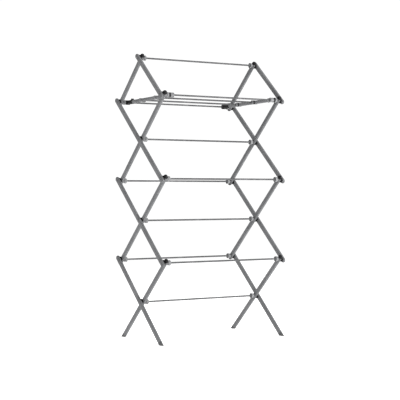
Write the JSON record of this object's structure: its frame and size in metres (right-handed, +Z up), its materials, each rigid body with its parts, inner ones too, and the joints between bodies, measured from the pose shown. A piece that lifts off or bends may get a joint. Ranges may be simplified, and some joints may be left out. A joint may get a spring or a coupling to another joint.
{
  "type": "clothes drying rack",
  "caption": "Folding accordion clothes drying rack of crossed oval tubes with cross rods on its pivots and a hinged rod shelf near the top.",
  "frame": {"origin": "on the floor, under the middle of the rack as it stands open", "axes": "+X along the rods, +Y towards the back, away from the side where the shelf is hinged, +Z up"},
  "size_m": [0.6792, 0.4648, 1.3405],
  "materials": {
    "tube_paint": "satin",
    "rod_paint": "satin",
    "clip_plastic": "satin",
    "cup_plastic": "satin",
    "cap_plastic": "satin",
    "foot_plastic": "matte",
    "spacer_plastic": "matte",
    "pin_steel": "satin",
    "knuckle_plastic": "satin"
  },
  "bodies": {
    "lower_inner": {"lower_inner_leg_left": "tube_paint", "lower_inner_leg_right": "tube_paint", "lower_inner_feet": "foot_plastic", "lower_inner_end_caps": "clip_plastic", "lower_inner_rod_cups": "cup_plastic", "lower_inner_pivot_pins": "pin_steel", "rod_level1": "rod_paint", "rod_level2_front": "rod_paint"},
    "lower_outer": {"lower_outer_leg_left": "tube_paint", "lower_outer_leg_right": "tube_paint", "lower_outer_feet": "foot_plastic", "lower_outer_end_caps": "cap_plastic", "lower_outer_spacers": "spacer_plastic"},
    "middle_outer": {"middle_outer_leg_left": "tube_paint", "middle_outer_leg_right": "tube_paint", "middle_outer_end_caps": "cap_plastic", "middle_outer_spacers": "spacer_plastic"},
    "middle_inner": {"middle_inner_leg_left": "tube_paint", "middle_inner_leg_right": "tube_paint", "middle_inner_end_caps": "clip_plastic", "middle_inner_rod_cups": "cup_plastic", "middle_inner_pivot_pins": "pin_steel", "rod_level2_back": "rod_paint", "rod_level3": "rod_paint", "rod_level4_front": "rod_paint"},
    "upper_outer": {"upper_outer_leg_left": "tube_paint", "upper_outer_leg_right": "tube_paint", "upper_outer_end_caps": "cap_plastic", "upper_outer_spacers": "spacer_plastic"},
    "upper_inner": {"upper_inner_leg_left": "tube_paint", "upper_inner_leg_right": "tube_paint", "upper_inner_end_caps": "clip_plastic", "upper_inner_rod_cups": "cup_plastic", "upper_inner_pivot_pins": "pin_steel", "rod_level4_back": "rod_paint", "rod_level5": "rod_paint", "rod_level6_front": "rod_paint"},
    "top_outer": {"top_outer_arm_left": "tube_paint", "top_outer_arm_right": "tube_paint", "top_outer_end_caps": "cap_plastic", "top_outer_spacers": "spacer_plastic"},
    "top_inner": {"top_inner_arm_left": "tube_paint", "top_inner_arm_right": "tube_paint", "top_inner_end_caps": "clip_plastic", "top_inner_rod_cups": "cup_plastic", "top_inner_pivot_pins": "pin_steel", "rod_level6_back": "rod_paint", "rod_level7": "rod_paint"},
    "shelf": {"shelf_bar_left": "tube_paint", "shelf_bar_right": "tube_paint", "shelf_hinge_eyes": "knuckle_plastic", "shelf_back_clips": "clip_plastic", "shelf_rod_ferrules": "knuckle_plastic", "shelf_rod_back": "rod_paint", "shelf_rod_front": "rod_paint"}
  },
  "joints": [
    {"name": "fold", "type": "hinge", "parent": "lower_inner", "child": "lower_outer", "pos_m": [0, 0, 0.182], "axis": [1, 0, 0], "range_deg": [0, 80]},
    {"name": "level2_back_pivot", "type": "hinge", "parent": "lower_outer", "child": "middle_inner", "pos_m": [0, 0.2125, 0.37192], "axis": [1, 0, 0], "range_deg": [-80, 0]},
    {"name": "level3_pivot", "type": "hinge", "parent": "middle_inner", "child": "middle_outer", "pos_m": [0, 0, 0.56184], "axis": [1, 0, 0], "range_deg": [0, 80]},
    {"name": "level4_back_pivot", "type": "hinge", "parent": "middle_outer", "child": "upper_inner", "pos_m": [0, 0.2125, 0.75175], "axis": [1, 0, 0], "range_deg": [-80, 0]},
    {"name": "level5_pivot", "type": "hinge", "parent": "upper_inner", "child": "upper_outer", "pos_m": [0, 0, 0.94167], "axis": [1, 0, 0], "range_deg": [0, 80]},
    {"name": "level6_back_pivot", "type": "hinge", "parent": "upper_outer", "child": "top_inner", "pos_m": [0, 0.2125, 1.13159], "axis": [1, 0, 0], "range_deg": [-80, 0]},
    {"name": "level7_pivot", "type": "hinge", "parent": "top_inner", "child": "top_outer", "pos_m": [0, 0, 1.32151], "axis": [1, 0, 0], "range_deg": [0, 80]},
    {"name": "shelf_hinge", "type": "hinge", "parent": "upper_inner", "child": "shelf", "pos_m": [0, -0.2125, 1.13159], "axis": [1, 0, 0], "range_deg": [0, 116]}
  ],
  "couplings": [
    {"joint": "level2_back_pivot", "follows": "fold", "ratio": -1},
    {"joint": "level3_pivot", "follows": "fold", "ratio": 1},
    {"joint": "level4_back_pivot", "follows": "fold", "ratio": -1},
    {"joint": "level5_pivot", "follows": "fold", "ratio": 1},
    {"joint": "level6_back_pivot", "follows": "fold", "ratio": -1},
    {"joint": "level7_pivot", "follows": "fold", "ratio": 1},
    {"joint": "shelf_hinge", "follows": "fold", "ratio": 1.45}
  ]
}
